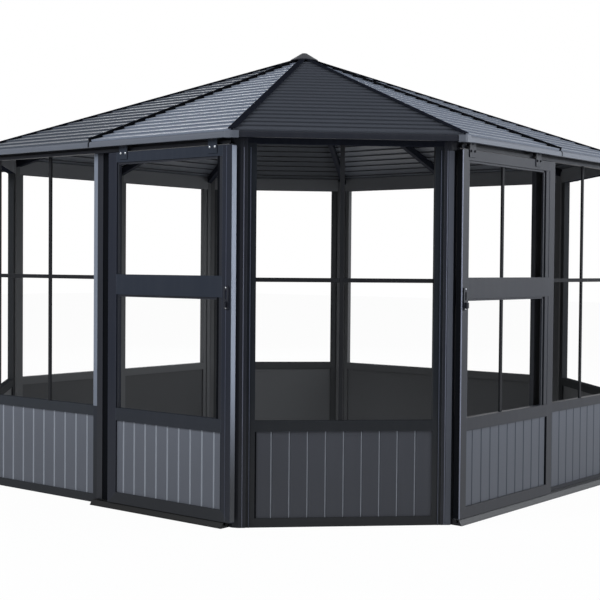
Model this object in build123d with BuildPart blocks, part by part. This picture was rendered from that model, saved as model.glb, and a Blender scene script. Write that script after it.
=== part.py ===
"""Metal gazebo: a square room with cut corners, window walls over grooved knee panels,
a low many-sided roof of stepped sheets, and two doors that slide outside the walls.

Millimetres. +Z is up, the origin lies on the ground under the crown, the front wall
faces -Y and the side wall, which holds the second door, faces +X.
"""
from build123d import *
import math
import os

# Plan
wall_across = 3600.0
corner_leg = 791.0
wall_depth = 50.0
eave_overhang = 91.0
seat = 0.3
overrun = 10.0
quarter_turn = 90.0
eighth_turn = 45.0

# Posts
post_flange = 54.0
post_nose = 18.0
mid_post_width = 44.0
post_groove_place = 34.0
post_groove_width = 4.0
post_groove_depth = 3.0

# Heights
header_bottom = 1951.0
eave_lift = 21.0
roof_rise = 700.7
crown_lift = 38.0
bottom_rail_height = 46.5
sill_bottom = 489.0
sill_height = 54.0

# Window frames and knee panels
frame_inset = 4.0
frame_depth = 38.0
corner_stile = 46.0
wall_stile = 34.0
panel_inset = 12.0
panel_thickness = 18.0
groove_width = 12.0
groove_depth = 4.0
window_groove_pitch = 93.0

# Eave
fascia_height = 32.0
fascia_depth = 25.0
fascia_round = 14.0
fascia_gap = 1.0
joint_leg = 40.0
joint_swell = 3.0

# Roof sheets and their supports
sheet_setback = 14.0
sheet_thickness = 2.0
step_height = 9.0
courses = 23
hip_gap = 6.0
seam_gap = 12.0
hip_cap_wing = 20.0
hip_cap_thickness = 5.0
hip_cap_stop = 74.0
hip_web_play = 1.0
seam_strip_thickness = 20.0
seam_strip_play = 1.0
rafter_width = 36.0
rafter_depth = 46.0
hub_radius = 90.0
hub_depth = 70.0
crown_radius = 92.0
crown_rim = 5.0
crown_knob_radius = 18.0

# Door leaves
leaf_face = 50.5
leaf_thickness = 35.0
leaf_bottom = 33.0
leaf_top_gap = 6.0
leaf_top_rail = 54.0
leaf_bottom_rail = 59.0
lock_rail_bottom = 1171.0
lock_rail_height = 109.0
leaf_sill_bottom = 485.0
leaf_sill_height = 68.0
leaf_stile = 63.0
leaf_panel_inset = 9.0
front_leaf_start = -10.0
front_leaf_stop = 121.0
front_groove_pitch = 83.0
side_leaf_start = 0.0
side_leaf_stop = 3.0
side_groove_pitch = 92.0

# Closing strips between the doors and the mid posts
jamb_lap = 18.0
jamb_depth = 26.0
side_jamb_width = 107.0

# Door hangers and track
track_drop = 6.0
track_height = 50.0
track_gauge = 4.0
track_reach = 31.0
track_lip_height = 16.5
track_end_margin = 20.0
roller_radius = 13.0
roller_core_radius = 10.0
roller_flange = 2.0
roller_play = 1.0
axle_radius = 5.0
hanger_width = 60.0
hanger_lap = 39.0
hanger_round = 20.0
hanger_gauge = 5.0
front_hanger_near = 129.0
front_hanger_far = 117.0
side_hanger_near = 87.0
side_hanger_far = 206.0

# Floor guide and the fin that runs in it
guide_height = 28.0
guide_reach = 62.0
guide_toe_height = 8.0
guide_toe = 6.0
guide_crest = 44.0
guide_slot = 14.0
guide_slot_floor = 12.0
fin_thickness = 4.0
fin_bottom = 17.5
fin_margin = 80.0
front_guide_start = 40.0
front_guide_end = 1020.0
side_guide_margin = 8.0

# Latches and strikes
latch_width = 36.0
latch_height = 116.0
latch_round = 8.0
latch_gauge = 6.0
latch_bottom = 1112.0
latch_edge_margin = 12.0
latch_slot_width = 13.0
latch_slot_height = 46.0
latch_slot_rise = 50.0
pull_depth = 16.0
pull_height = 30.0
pull_rise = 10.0
strike_width = 24.0
strike_height = 70.0
strike_gauge = 4.0
strike_margin = 24.0
strike_bottom = 1135.0

# Worked out sizes
half_across = wall_across / 2
eave_bottom = header_bottom + eave_lift
half_wall = half_across - corner_leg
corner_distance = (wall_across - corner_leg) / math.sqrt(2)
half_corner = corner_leg / math.sqrt(2)
eave_top = eave_bottom + fascia_height
eave_flat = half_across + eave_overhang
eave_corner = corner_distance + eave_overhang
eave_half_wall = eave_corner * math.sqrt(2) - eave_flat
eave_half_corner = (eave_flat - eave_half_wall) / math.sqrt(2)
sheet_reach = eave_overhang - sheet_setback
ring_height = eave_top + seat
ring_flat = half_across + sheet_reach
ring_corner = corner_distance + sheet_reach
ring_half_wall = ring_corner * math.sqrt(2) - ring_flat
base_apex = ring_height + roof_rise
crown_top = base_apex + crown_lift
flat_pitch = math.degrees(math.atan(roof_rise / ring_flat))
corner_pitch = math.degrees(math.atan(roof_rise / ring_corner))
flat_fall = roof_rise / ring_flat
corner_fall = roof_rise / ring_corner
hip_turn = math.degrees(math.atan(ring_half_wall / ring_flat))
hip_reach = math.hypot(ring_half_wall, ring_flat)
hip_fall = roof_rise / hip_reach
half_bend = math.cos(math.radians(eighth_turn / 2))
flat_wall_top = ring_height + sheet_reach * flat_fall - seat
corner_wall_top = ring_height + sheet_reach * corner_fall - seat
track_bottom = header_bottom - track_drop
leaf_top = track_bottom - leaf_top_gap
hanger_bottom = leaf_top - hanger_lap
hanger_top = track_bottom + track_height
front_leaf_width = half_wall - front_leaf_start - front_leaf_stop
side_leaf_width = half_wall - side_leaf_start - side_leaf_stop
leaf_back = leaf_face - leaf_thickness
leaf_middle = leaf_face - leaf_thickness / 2
lip_middle = track_reach - track_gauge / 2
axle_height = track_bottom + track_lip_height + roller_core_radius + seat

front, side, back, left = -quarter_turn, 0.0, quarter_turn, 2 * quarter_turn
flat_walls = {front: "front", side: "side", back: "back", left: "left"}
corner_walls = {
    front + eighth_turn: "front_side",
    side + eighth_turn: "back_side",
    back + eighth_turn: "back_left",
    front - eighth_turn: "front_left",
}
front_hand, side_hand = 1, -1


def unit(turn):
    """Level unit vector at a turn in degrees from +X."""
    return Vector(math.cos(math.radians(turn)), math.sin(math.radians(turn)), 0)


def across(turn):
    """Level unit vector along a wall, to the right seen from outside."""
    return unit(turn + quarter_turn)


def wall_plane(turn, distance):
    """Upright plane facing outward: x runs along the wall, y is up, z is outward."""
    return Plane(origin=unit(turn) * distance, x_dir=across(turn), z_dir=unit(turn))


def flat_plane(turn):
    return wall_plane(turn, half_across)


def corner_plane(turn):
    return wall_plane(turn, corner_distance)


def plate(plane, outline, reach):
    """Flat piece on a wall from its outline, between two distances outward."""
    with BuildSketch(plane.offset(reach[0])) as face:
        with BuildLine():
            Polyline(*outline, close=True)
        make_face()
    extrude(face.sketch, amount=reach[1] - reach[0])


def bar(plane, span, rise, reach):
    """Square-cut bar on a wall: span along it, rise in height, reach outward, each (low, high)."""
    outline = [(span[0], rise[0]), (span[1], rise[0]), (span[1], rise[1]), (span[0], rise[1])]
    plate(plane, outline, reach)


def disc(plane, centre, radius, reach):
    """Round piece whose axis points outward from a wall."""
    with BuildSketch(plane.offset(reach[0])) as face:
        with Locations(centre):
            Circle(radius)
    extrude(face.sketch, amount=reach[1] - reach[0])


def run(turn, distance, span, section):
    """Section in (outward, height) drawn out along a wall."""
    start = unit(turn) * distance + across(turn) * span[1]
    with BuildSketch(Plane(origin=start, x_dir=unit(turn), z_dir=across(turn) * -1)) as face:
        with BuildLine():
            Polyline(*section, close=True)
        make_face()
    extrude(face.sketch, amount=span[1] - span[0])


def upright(outline, height, base=0.0):
    """Upright piece from an outline in plan."""
    with BuildSketch(Plane.XY.offset(base)) as face:
        with BuildLine():
            Polyline(*[(point.X, point.Y) for point in outline], close=True)
        make_face()
    extrude(face.sketch, amount=height)


def keep(piece, name):
    """Label a finished piece and write it."""
    piece.part.label = name
    export_step(piece.part, f"parts/{name}.step")


def span_of(hand, start, end):
    """Span on a door wall between two distances from the corner where its door closes."""
    return tuple(sorted((hand * (half_wall - start), hand * (half_wall - end))))


os.makedirs("parts", exist_ok=True)


def elbow(corner_turn, end, face_distance, half_face, leg, nose, swell, depth, groove=None):
    """Outline in plan of a strip bent round one corner of the plan, with a blunt nose.

    A groove, as (place, width, depth), runs down each face.
    """
    wall_turn = corner_turn + end * eighth_turn
    tip = unit(corner_turn) * face_distance + across(corner_turn) * (end * half_face)
    to_corner = across(corner_turn) * -end
    to_wall = across(wall_turn) * end
    bisector = (unit(corner_turn) + unit(wall_turn)).normalized()
    corner_out = unit(corner_turn) * swell
    wall_out = unit(wall_turn) * swell
    corner_cut = []
    wall_cut = []
    if groove:
        place, width, cut = groove
        for step, sink in ((width, 0), (width, cut), (0, cut), (0, 0)):
            corner_cut.append(tip + to_corner * (place + step) - unit(corner_turn) * sink)
            wall_cut.insert(0, tip + to_wall * (place + step) - unit(wall_turn) * sink)
    return [
        tip + to_corner * leg + corner_out,
        *corner_cut,
        tip + to_corner * nose + corner_out,
        tip + to_wall * nose + wall_out,
        *wall_cut,
        tip + to_wall * leg + wall_out,
        tip + to_wall * leg - unit(wall_turn) * depth,
        tip - bisector * (depth / half_bend),
        tip + to_corner * leg - unit(corner_turn) * depth,
    ]


# Posts at both ends of every cut corner
with BuildPart() as corner_posts:
    for turn in corner_walls:
        for end in (-1, 1):
            upright(elbow(turn, end, corner_distance, half_corner, post_flange, post_nose, 0, wall_depth,
                          (post_groove_place, post_groove_width, post_groove_depth)),
                    corner_wall_top)
keep(corner_posts, "corner_posts")

# Posts at the middle of every flat wall
with BuildPart() as mid_posts:
    for turn in flat_walls:
        bar(flat_plane(turn), (-mid_post_width / 2, mid_post_width / 2), (0, flat_wall_top),
            (-wall_depth, 0))
keep(mid_posts, "mid_posts")

# Header rails, sloped on top to meet the roof
low_bay = (-half_wall + post_flange, -mid_post_width / 2)
high_bay = (mid_post_width / 2, half_wall - post_flange)
corner_bay = (-half_corner + post_flange, half_corner - post_flange)


def header_section(top, slope):
    inner_top = top + wall_depth * slope
    return [(0, header_bottom), (0, top), (-wall_depth, inner_top), (-wall_depth, header_bottom)]


with BuildPart() as wall_headers:
    for turn in flat_walls:
        run(turn, half_across, low_bay, header_section(flat_wall_top, flat_fall))
        run(turn, half_across, high_bay, header_section(flat_wall_top, flat_fall))
keep(wall_headers, "wall_headers")

with BuildPart() as corner_headers:
    for turn in corner_walls:
        run(turn, corner_distance, corner_bay, header_section(corner_wall_top, corner_fall))
keep(corner_headers, "corner_headers")

# Window frames over knee panels; a frame is two stiles, a bottom rail and a sill rail
frame_reach = (-frame_inset - frame_depth, -frame_inset)
window_bays = {front: [low_bay], side: [high_bay], back: [low_bay, high_bay], left: [low_bay, high_bay]}


def stiles(plane, bay, width):
    bar(plane, (bay[0], bay[0] + width), (0, header_bottom), frame_reach)
    bar(plane, (bay[1] - width, bay[1]), (0, header_bottom), frame_reach)


def rails(plane, bay, width):
    span = (bay[0] + width, bay[1] - width)
    bar(plane, span, (0, bottom_rail_height), frame_reach)
    bar(plane, span, (sill_bottom, sill_bottom + sill_height), frame_reach)


def grooved_panel(turn, distance, span, rise, face, pitch):
    """Upright boards in one sheet: a plate with V grooves at an even pitch about its middle."""
    middle = (span[0] + span[1]) / 2
    pairs = int((span[1] - span[0] - 2 * groove_width) / 2 / pitch)
    outer, root, inner = face, face - groove_depth, face - panel_thickness
    profile = [(span[0], inner), (span[0], outer)]
    for index in range(-pairs, pairs + 1):
        place = middle + index * pitch
        profile += [(place - groove_width / 2, outer), (place, root), (place + groove_width / 2, outer)]
    profile += [(span[1], outer), (span[1], inner)]
    outline = [unit(turn) * (distance + out) + across(turn) * place for place, out in profile]
    upright(outline, rise[1] - rise[0], rise[0])


def knee_panel(turn, distance, bay, width):
    span = (bay[0] + width + seat, bay[1] - width - seat)
    rise = (bottom_rail_height + seat, sill_bottom - seat)
    grooved_panel(turn, distance, span, rise, -panel_inset, window_groove_pitch)


for turn, wall_name in flat_walls.items():
    with BuildPart() as window_stiles:
        for bay in window_bays[turn]:
            stiles(flat_plane(turn), bay, wall_stile)
    keep(window_stiles, f"{wall_name}_window_stiles")
    with BuildPart() as window_rails:
        for bay in window_bays[turn]:
            rails(flat_plane(turn), bay, wall_stile)
    keep(window_rails, f"{wall_name}_window_rails")
    with BuildPart() as knee_panels:
        for bay in window_bays[turn]:
            knee_panel(turn, half_across, bay, wall_stile)
    keep(knee_panels, f"{wall_name}_knee_panels")

with BuildPart() as corner_window_stiles:
    for turn in corner_walls:
        stiles(corner_plane(turn), corner_bay, corner_stile)
keep(corner_window_stiles, "corner_window_stiles")

with BuildPart() as corner_window_rails:
    for turn in corner_walls:
        rails(corner_plane(turn), corner_bay, corner_stile)
keep(corner_window_rails, "corner_window_rails")

with BuildPart() as corner_knee_panels:
    for turn in corner_walls:
        knee_panel(turn, corner_distance, corner_bay, corner_stile)
keep(corner_knee_panels, "corner_knee_panels")

# Dark closing strips between the doors and the mid posts
with BuildPart() as front_door_jamb:
    bar(flat_plane(front), (mid_post_width / 2, front_leaf_stop + jamb_lap), (0, header_bottom),
        (-frame_inset - jamb_depth, -frame_inset))
keep(front_door_jamb, "front_door_jamb")

with BuildPart() as side_door_jamb:
    bar(flat_plane(side), (-mid_post_width / 2 - side_jamb_width, -mid_post_width / 2),
        (0, header_bottom), (-frame_inset - jamb_depth, -frame_inset))
keep(side_door_jamb, "side_door_jamb")


def fascia(turn, distance, span):
    """Length of eave rail with a round upper edge."""
    start = unit(turn) * distance + across(turn) * span[1]
    with BuildSketch(Plane(origin=start, x_dir=unit(turn), z_dir=across(turn) * -1)) as face:
        with BuildLine():
            Polyline((0, eave_top - fascia_round), (0, eave_bottom), (-fascia_depth, eave_bottom),
                     (-fascia_depth, eave_top), (-fascia_round, eave_top))
            RadiusArc((-fascia_round, eave_top), (0, eave_top - fascia_round), fascia_round)
        make_face()
    extrude(face.sketch, amount=span[1] - span[0])


# Eave rails, two lengths on a flat wall and one on a cut corner
with BuildPart() as wall_eave_rails:
    for turn in flat_walls:
        rail_end = eave_half_wall - joint_leg - seat
        fascia(turn, eave_flat, (-rail_end, -fascia_gap / 2))
        fascia(turn, eave_flat, (fascia_gap / 2, rail_end))
keep(wall_eave_rails, "wall_eave_rails")

with BuildPart() as corner_eave_rails:
    for turn in corner_walls:
        rail_end = eave_half_corner - joint_leg - seat
        fascia(turn, eave_corner, (-rail_end, rail_end))
keep(corner_eave_rails, "corner_eave_rails")

# Bent shoes that join the eave rails at every corner
with BuildPart() as eave_joints:
    for turn in corner_walls:
        for end in (-1, 1):
            upright(elbow(turn, end, eave_corner, eave_half_corner, joint_leg, 2 * joint_swell, joint_swell,
                          fascia_depth),
                    fascia_height + joint_swell, eave_bottom - joint_swell)
keep(eave_joints, "eave_joints")


def stepped_sheet(turn, distance, pitch_angle, low_line, low_gap, high_line, high_gap):
    """Triangular roof sheet with a step at every course, cut beside two roof lines."""
    tilt = math.radians(pitch_angle)
    course = distance / math.cos(tilt) / courses
    up_slope = unit(turn) * -math.cos(tilt) + Vector(0, 0, math.sin(tilt))
    half_length = distance * math.tan(math.radians(hip_turn)) + overrun
    eave_end = unit(turn) * distance - across(turn) * half_length + Vector(0, 0, ring_height)
    upper = []
    lower = [(0, 0)]
    for index in range(courses - 1):
        upper += [(index * course, sheet_thickness + step_height), ((index + 1) * course, sheet_thickness)]
        step = (index + 1) * course + sheet_thickness
        lower += [(step, 0), (step, step_height)]
    lower[-2:] = [(upper[-1][0], 0)]
    with BuildPart() as sheet:
        with BuildSketch(Plane(origin=eave_end, x_dir=up_slope, z_dir=across(turn))) as profile:
            with BuildLine():
                Polyline(*upper, *reversed(lower), close=True)
            make_face()
        extrude(amount=2 * half_length)
        low_way, high_way = unit(low_line), unit(high_line)
        low_side = unit(low_line + quarter_turn) * low_gap
        high_normal = unit(high_line - quarter_turn)
        meeting = low_side + low_way * ((high_gap - low_side.dot(high_normal)) / low_way.dot(high_normal))
        far = 2 * distance
        outline = [meeting, meeting + low_way * far, meeting + high_way * far]
        with BuildSketch() as footprint:
            with BuildLine():
                Polyline(*[(point.X, point.Y) for point in outline], close=True)
            make_face()
        extrude(amount=crown_top, mode=Mode.INTERSECT)
    return sheet.part


# Roof sheets: a pair on each flat wall, one on each cut corner
for turn, wall_name in flat_walls.items():
    low_sheet = stepped_sheet(turn, ring_flat, flat_pitch, turn - hip_turn, hip_gap, turn, seam_gap)
    high_sheet = stepped_sheet(turn, ring_flat, flat_pitch, turn, seam_gap, turn + hip_turn, hip_gap)
    with BuildPart() as roof_sheets:
        add(low_sheet)
        add(high_sheet)
    keep(roof_sheets, f"{wall_name}_roof_sheets")

for turn, corner_name in corner_walls.items():
    spread = eighth_turn - hip_turn
    corner_sheet = stepped_sheet(turn, ring_corner, corner_pitch, turn - spread, hip_gap,
                                 turn + spread, hip_gap)
    with BuildPart() as roof_sheet:
        add(corner_sheet)
    keep(roof_sheet, f"{corner_name}_roof_sheet")


def roof_face(turn):
    """Normal of the roof face over a wall."""
    tilt = math.radians(flat_pitch if turn in flat_walls else corner_pitch)
    return unit(turn) * math.sin(tilt) + Vector(0, 0, math.cos(tilt))


def roof_line(line_turn, fall, reach):
    """Plane across a roof line at the eave: x to its clockwise side, y out of the roof, z up the line."""
    up_line = unit(line_turn) * -1 + Vector(0, 0, fall)
    return Plane(origin=unit(line_turn) * reach + Vector(0, 0, ring_height),
                 x_dir=unit(line_turn - quarter_turn), z_dir=up_line)


def lean(plane, normal):
    """Rise of a roof face per unit along x in the plane across a roof line."""
    return -plane.x_dir.dot(normal) / plane.y_dir.dot(normal)


# Hips as (plane across the hip, normal on its clockwise side, normal on the other side)
hips = []
for turn in corner_walls:
    lower_wall = left if turn - eighth_turn == -left else turn - eighth_turn
    upper_wall = turn + eighth_turn
    spread = eighth_turn - hip_turn
    hips.append((roof_line(turn - spread, hip_fall, hip_reach), roof_face(lower_wall), roof_face(turn)))
    hips.append((roof_line(turn + spread, hip_fall, hip_reach), roof_face(turn), roof_face(upper_wall)))
seams = [(roof_line(turn, flat_fall, ring_flat), roof_face(turn), roof_face(turn)) for turn in flat_walls]


def roof_strip(line, low_rise, high_rise, wing, start, stop):
    """Strip along a roof line, bent to both roof faces, between two rises above them."""
    plane, clockwise_face, other_face = line
    right = wing * lean(plane, clockwise_face)
    other = -wing * lean(plane, other_face)
    with BuildSketch(plane.offset(start)) as face:
        with BuildLine():
            Polyline((-wing, other + low_rise), (0, low_rise), (wing, right + low_rise),
                     (wing, right + high_rise), (0, high_rise), (-wing, other + high_rise), close=True)
        make_face()
    extrude(face.sketch, amount=stop - start)


def line_length(line, stop_radius):
    """Length of a roof line from the eave to a distance from the middle of the roof."""
    origin = line[0].origin
    reach = math.hypot(origin.X, origin.Y)
    return (reach - stop_radius) * math.hypot(1, roof_rise / reach)


# Rafters from the walls to the hub
with BuildPart() as rafters:
    for line in hips + seams:
        roof_strip(line, -rafter_depth, -seat, rafter_width / 2, 0, line_length(line, hub_radius - overrun))
    with BuildSketch() as room_outline:
        Rectangle(wall_across - 2 * (wall_depth + seat), wall_across - 2 * (wall_depth + seat))
        Rectangle(2 * (corner_distance - wall_depth - seat), 2 * (corner_distance - wall_depth - seat),
                  rotation=eighth_turn, mode=Mode.INTERSECT)
    extrude(amount=crown_top, mode=Mode.INTERSECT)
    with BuildSketch() as hub_room:
        Circle(hub_radius + seat)
    extrude(amount=crown_top, mode=Mode.SUBTRACT)
keep(rafters, "rafters")

# Hub that the rafters meet
with BuildPart() as crown_hub:
    with BuildSketch(Plane.XZ) as hub_section:
        with BuildLine():
            hub_top = base_apex - seat - hub_radius * flat_fall
            Polyline((0, hub_top - hub_depth), (hub_radius, hub_top - hub_depth), (hub_radius, hub_top),
                     (0, base_apex - seat), close=True)
        make_face()
    revolve(axis=Axis.Z)
keep(crown_hub, "crown_hub")

# Dark strips in the seams between the sheets of a pair
with BuildPart() as seam_strips:
    for line in seams:
        roof_strip(line, 0, seam_strip_thickness, seam_gap - seam_strip_play, 0,
                   line_length(line, hub_radius))
keep(seam_strips, "seam_strips")

# Bent caps over the hips, each with a web that fills the gap between the sheets
cap_rise = seat + max((sheet_thickness + step_height) / plane.y_dir.dot(normal)
                      for plane, *normals in hips for normal in normals)
with BuildPart() as hip_caps:
    for line in hips:
        roof_strip(line, cap_rise, cap_rise + hip_cap_thickness, hip_cap_wing, 0,
                   line_length(line, hip_cap_stop))
        roof_strip(line, 0, cap_rise, hip_gap - hip_web_play, 0, line_length(line, hub_radius))
keep(hip_caps, "hip_caps")

# Crown cap over the upper ends of the hip caps
cap_height = (cap_rise + hip_cap_thickness) * math.hypot(1, hip_fall) + seat
with BuildPart() as crown_cap:
    with BuildSketch(Plane.XZ) as crown_section:
        with BuildLine():
            rim_bottom = base_apex + cap_height - crown_radius * hip_fall
            Polyline((0, crown_top), (0, base_apex + cap_height), (crown_radius, rim_bottom),
                     (crown_radius, rim_bottom + crown_rim), (crown_knob_radius, crown_top), close=True)
        make_face()
    revolve(axis=Axis.Z)
keep(crown_cap, "crown_cap")

# Door tracks on the headers
with BuildPart() as door_tracks:
    for turn in (front, side):
        lip_top = track_bottom + track_lip_height
        section = [
            (0, track_bottom), (track_reach, track_bottom), (track_reach, lip_top),
            (track_reach - track_gauge, lip_top), (track_reach - track_gauge, track_bottom + track_gauge),
            (track_gauge, track_bottom + track_gauge), (track_gauge, track_bottom + track_height),
            (0, track_bottom + track_height),
        ]
        run(turn, half_across, (-half_wall + track_end_margin, half_wall - track_end_margin), section)
keep(door_tracks, "door_tracks")

# Floor guides with a slot for the fin under each leaf
with BuildPart() as door_guides:
    for turn, span in ((front, span_of(front_hand, front_guide_start, front_guide_end)),
                       (side, (-half_wall + side_guide_margin, half_wall - side_guide_margin))):
        section = [
            (0, 0), (guide_reach, 0), (guide_reach - guide_toe, guide_toe_height),
            (guide_crest, guide_height),
            (leaf_middle + guide_slot / 2, guide_height), (leaf_middle + guide_slot / 2, guide_slot_floor),
            (leaf_middle - guide_slot / 2, guide_slot_floor), (leaf_middle - guide_slot / 2, guide_height),
            (0, guide_height),
        ]
        run(turn, half_across, span, section)
keep(door_guides, "door_guides")

# Strike plates on the corner posts
with BuildPart() as door_strikes:
    for turn, hand in ((front, front_hand), (side, side_hand)):
        bar(flat_plane(turn), span_of(hand, strike_margin, strike_margin + strike_width),
            (strike_bottom, strike_bottom + strike_height), (0, strike_gauge))
keep(door_strikes, "door_strikes")

# Sliding doors
doors = (
    ("front", front, front_hand, front_leaf_start, front_leaf_width, front_groove_pitch,
     front_hanger_near, front_hanger_far),
    ("side", side, side_hand, side_leaf_start, side_leaf_width, side_groove_pitch,
     side_hanger_near, side_hanger_far),
)
for door_name, turn, hand, leaf_start, leaf_width, pitch, hanger_near, hanger_far in doors:
    plane = flat_plane(turn)
    low, high = span_of(hand, leaf_start, leaf_start + leaf_width)
    inner = (low + leaf_stile, high - leaf_stile)
    leaf_reach = (leaf_back, leaf_face)
    rail_top = leaf_bottom + leaf_bottom_rail

    with BuildPart() as door_stiles:
        for edge, inside in ((low, inner[0]), (high, inner[1])):
            plate(plane, [(edge, leaf_bottom), (inside, rail_top), (inside, leaf_top), (edge, leaf_top)],
                  leaf_reach)
    keep(door_stiles, f"{door_name}_door_stiles")

    with BuildPart() as door_rails:
        plate(plane, [(low, leaf_bottom), (high, leaf_bottom), (inner[1], rail_top), (inner[0], rail_top)],
              leaf_reach)
        bar(plane, (low + fin_margin, high - fin_margin), (fin_bottom, leaf_bottom),
            (leaf_middle - fin_thickness / 2, leaf_middle + fin_thickness / 2))
        bar(plane, inner, (leaf_sill_bottom, leaf_sill_bottom + leaf_sill_height), leaf_reach)
        bar(plane, inner, (lock_rail_bottom, lock_rail_bottom + lock_rail_height), leaf_reach)
        bar(plane, inner, (leaf_top - leaf_top_rail, leaf_top), leaf_reach)
    keep(door_rails, f"{door_name}_door_rails")

    with BuildPart() as door_knee_panel:
        grooved_panel(turn, half_across, (inner[0] + seat, inner[1] - seat),
                      (rail_top + seat, leaf_sill_bottom - seat), leaf_face - leaf_panel_inset, pitch)
    keep(door_knee_panel, f"{door_name}_door_knee_panel")

    with BuildPart() as door_hangers:
        for place in span_of(hand, leaf_start + hanger_near, leaf_start + leaf_width - hanger_far):
            with BuildSketch(plane.offset(leaf_face)) as hanger_face:
                with Locations((place, (hanger_bottom + hanger_top) / 2)):
                    Rectangle(hanger_width, hanger_top - hanger_bottom)
                fillet(hanger_face.vertices().group_by(Axis.Y)[-1], hanger_round)
            extrude(amount=hanger_gauge)
            groove = track_gauge / 2 + roller_play
            hub = (place, axle_height)
            disc(plane, hub, roller_core_radius, (lip_middle - groove, lip_middle + groove))
            disc(plane, hub, roller_radius, (lip_middle - groove - roller_flange, lip_middle - groove))
            disc(plane, hub, roller_radius, (lip_middle + groove, lip_middle + groove + roller_flange))
            disc(plane, hub, axle_radius, (lip_middle + groove, leaf_face))
    keep(door_hangers, f"{door_name}_door_hangers")

    with BuildPart() as door_latch:
        near = leaf_start + latch_edge_margin
        span = span_of(hand, near, near + latch_width)
        middle = (span[0] + span[1]) / 2
        with BuildSketch(plane.offset(leaf_face)) as latch_face:
            with Locations((middle, latch_bottom + latch_height / 2)):
                RectangleRounded(latch_width, latch_height, latch_round)
            with Locations((middle, latch_bottom + latch_slot_rise + latch_slot_height / 2)):
                SlotOverall(latch_slot_height, latch_slot_width, rotation=quarter_turn, mode=Mode.SUBTRACT)
        extrude(amount=latch_gauge)
        bar(plane, (middle - latch_slot_width / 2, middle + latch_slot_width / 2),
            (latch_bottom + pull_rise, latch_bottom + pull_rise + pull_height),
            (leaf_face + latch_gauge, leaf_face + latch_gauge + pull_depth))
    keep(door_latch, f"{door_name}_door_latch")
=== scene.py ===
import math

import bmesh
import bpy
from bpy.props import FloatProperty, FloatVectorProperty, IntProperty, PointerProperty
from mathutils import Matrix, Vector


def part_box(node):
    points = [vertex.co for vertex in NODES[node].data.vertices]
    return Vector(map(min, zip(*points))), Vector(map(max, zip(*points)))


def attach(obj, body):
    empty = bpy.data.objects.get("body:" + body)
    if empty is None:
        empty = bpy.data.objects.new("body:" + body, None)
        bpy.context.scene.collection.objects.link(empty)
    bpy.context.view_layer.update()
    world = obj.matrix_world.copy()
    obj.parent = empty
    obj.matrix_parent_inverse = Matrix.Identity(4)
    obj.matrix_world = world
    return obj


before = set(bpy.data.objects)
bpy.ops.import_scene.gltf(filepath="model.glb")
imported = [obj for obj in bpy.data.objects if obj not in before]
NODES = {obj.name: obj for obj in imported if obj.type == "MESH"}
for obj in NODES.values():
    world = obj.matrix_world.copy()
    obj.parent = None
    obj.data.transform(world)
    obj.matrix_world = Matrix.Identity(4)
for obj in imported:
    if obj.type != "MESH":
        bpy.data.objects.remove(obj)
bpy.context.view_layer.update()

bl_info = {
    "name": "Metal gazebo",
    "version": (1, 0, 0),
    "blender": (4, 5, 0),
    "location": "3D View > Sidebar > Gazebo",
    "description": "Finishes and small fittings of a dark metal gazebo with sliding doors",
    "category": "Object",
}

# Outward sides of the walls, as turns from +X in degrees
FLAT_WALLS = (0.0, 90.0, 180.0, 270.0)
DOORS = {"front": -90.0, "side": 0.0}
CORNERS = {"front_side": -45.0, "back_side": 45.0, "back_left": 135.0, "front_left": -135.0}

# Outer faces of the walls from the middle, half the width of a cut corner, and the window openings' heights
FLAT_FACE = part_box("mid_posts")[1].x
CORNER_FACE = max(v.co.x - v.co.y for v in NODES["corner_posts"].data.vertices) / math.sqrt(2)
CORNER_HALF = FLAT_FACE * math.sqrt(2) - CORNER_FACE
SILL_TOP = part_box("front_window_rails")[1].z
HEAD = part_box("front_window_stiles")[1].z

# Finishes of single solids; the others are picked by a part of their name, or get the frame's coat
FINISH_NODES = {
    # The front door's black jamb and the side door's dark jamb are painted shade in the gap behind the doors
    "strip_black": ("seam_strips", "front_door_jamb"),
    "jamb_painted_shade": ("side_door_jamb",),
    "cap_coat": ("hip_caps",),
    "post_coat": ("corner_posts", "side_door_stiles"),
    "door_stile_coat": ("front_door_stiles",),
    "door_rail_coat": ("front_door_rails", "front_door_hangers", "front_window_stiles"),
    "sill_coat": ("front_window_rails",),
    "rail_coat": ("corner_window_rails", "corner_window_stiles"),
    "head_coat": ("corner_headers", "wall_headers"),
    "rafter_coat": ("rafters", "crown_hub"),
    "eave_coat": ("wall_eave_rails", "eave_joints"),
    "guide_painted_shade": ("door_guides",),
    "front_panel_groove_highlight": ("front_knee_panels", "front_door_knee_panel"),
    "side_panel_painted_shade": ("side_knee_panels", "side_door_knee_panel"),
    "corner_panel_shade_and_highlight": ("corner_knee_panels",),
    "left_panel_inside_shade": ("left_knee_panels",),
    "front_roof_light_and_shade": ("front_roof_sheets",),
    "side_roof_light_and_shade": ("side_roof_sheets",),
}
NODE_FINISH = {node: name for name, nodes in FINISH_NODES.items() for node in nodes}
PART_FINISH = (("roof_sheets", "roof_coat"), ("roof_sheet", "corner_roof_painted_shade"), ("knee_panel", "panel_coat"))
BOLT_FINISH = {"front": "bolt_bright", "side": "strip_black"}

# How far a strip sinks into what carries it and stands out of it, and its gap to a door leaf's ends
SINK = 0.001
PROUD = 0.0012
END_GAP = 0.004

# Strips on a door leaf: depths of their back and front behind the leaf's face
PANE_GASKET = (0.014, 0.005)
# The strip beside a knee panel is black as painted shade in the gap there
KNEE_SHADE_STRIP = (0.014, 0.004)
REBATE = (0.016, 0.0015)
PANE_BEAD = (0.012, 0.006)
INNER_BEAD = (0.014, 0.003)
EDGE_LIP = (0.004, 0.0012)

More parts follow.
